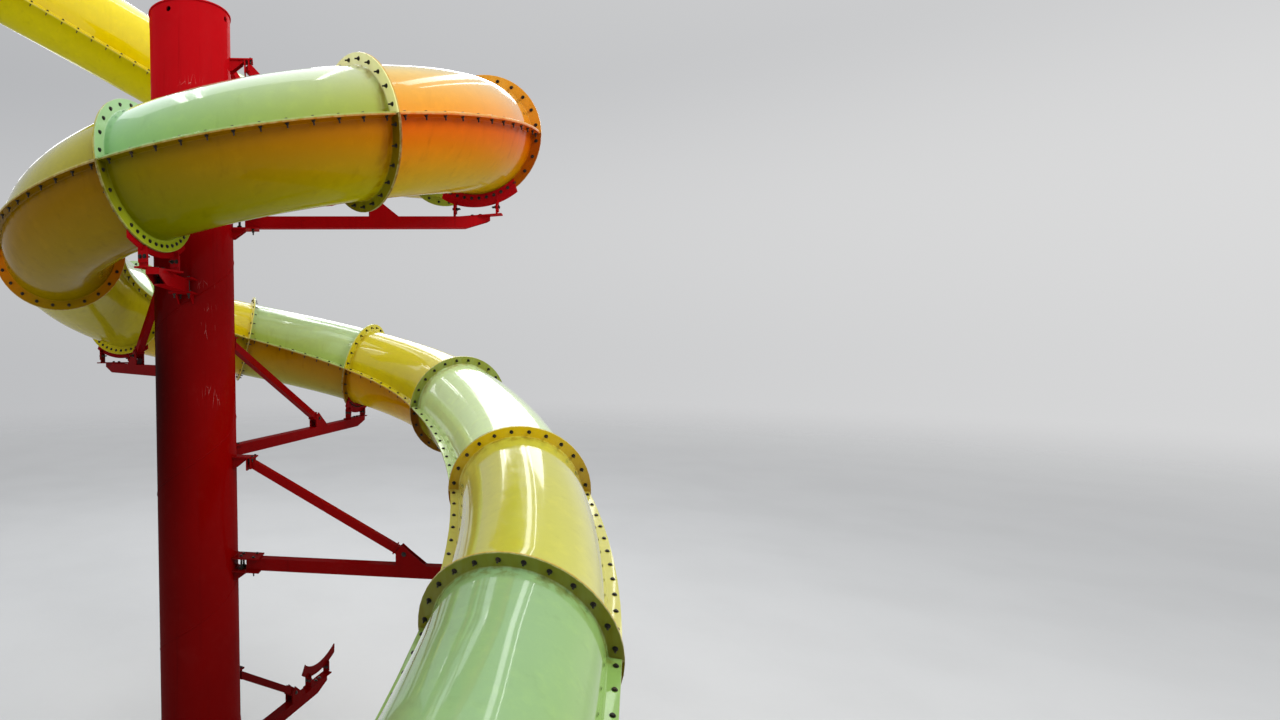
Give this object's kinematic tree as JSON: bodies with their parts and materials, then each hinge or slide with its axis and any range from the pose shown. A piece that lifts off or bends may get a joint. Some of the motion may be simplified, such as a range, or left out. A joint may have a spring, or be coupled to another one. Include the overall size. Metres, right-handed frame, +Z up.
{
  "type": "water slide tower",
  "caption": "Enclosed fibreglass tube slide in lime green and yellow segments coiled round one red steel column, carried on bolted brackets.",
  "frame": {"origin": "on the ground at the centre of the column, on the underside of its base plate", "axes": "+Z up along the column; +Y away from the side where the tube passes in front of the column; +X to the right seen from that side"},
  "size_m": [7.0792, 9.3991, 11.0822],
  "materials": {
    "green_gelcoat": "glossy gel coat on fibreglass",
    "yellow_gelcoat": "glossy gel coat on fibreglass",
    "red_paint": "gloss paint on steel"
  },
  "bodies": {
    "root": {"b1_beam": "red_paint", "b1_brace": "red_paint", "b1_saddle": "red_paint", "b2_beam": "red_paint", "b2_brace": "red_paint", "b2_saddle": "red_paint", "b3_beam": "red_paint", "b3_saddle": "red_paint", "b4_beam": "red_paint", "b4_brace": "red_paint", "b4_saddle": "red_paint", "b5_beam": "red_paint", "b5_brace": "red_paint", "b5_saddle": "red_paint", "b6_beam": "red_paint", "b6_brace": "red_paint", "b6_saddle": "red_paint", "b7_beam": "red_paint", "b7_brace": "red_paint", "b7_saddle": "red_paint", "column_base": "red_paint", "column_cap": "red_paint", "column_pipe": "red_paint", "tube_s01_lower": "yellow_gelcoat", "tube_s01_upper": "yellow_gelcoat", "tube_s02_lower": "green_gelcoat", "tube_s02_upper": "green_gelcoat", "tube_s03_lower": "yellow_gelcoat", "tube_s03_upper": "yellow_gelcoat", "tube_s04_lower": "green_gelcoat", "tube_s04_upper": "green_gelcoat", "tube_s05_lower": "yellow_gelcoat", "tube_s05_upper": "yellow_gelcoat", "tube_s06_lower": "green_gelcoat", "tube_s06_upper": "green_gelcoat", "tube_s07_lower": "yellow_gelcoat", "tube_s07_upper": "yellow_gelcoat", "tube_s08_lower": "green_gelcoat", "tube_s08_upper": "green_gelcoat", "tube_s09_lower_a": "yellow_gelcoat", "tube_s09_lower_b": "yellow_gelcoat", "tube_s09_upper": "yellow_gelcoat", "tube_s10_lower": "green_gelcoat", "tube_s10_upper_a": "green_gelcoat", "tube_s10_upper_b": "green_gelcoat", "tube_s11_lower": "yellow_gelcoat", "tube_s11_upper": "yellow_gelcoat", "tube_s12_lower": "green_gelcoat", "tube_s12_upper": "green_gelcoat", "tube_s13_lower": "yellow_gelcoat", "tube_s13_upper": "yellow_gelcoat", "tube_s14_lower": "green_gelcoat", "tube_s14_upper": "green_gelcoat"}
  },
  "joints": []
}
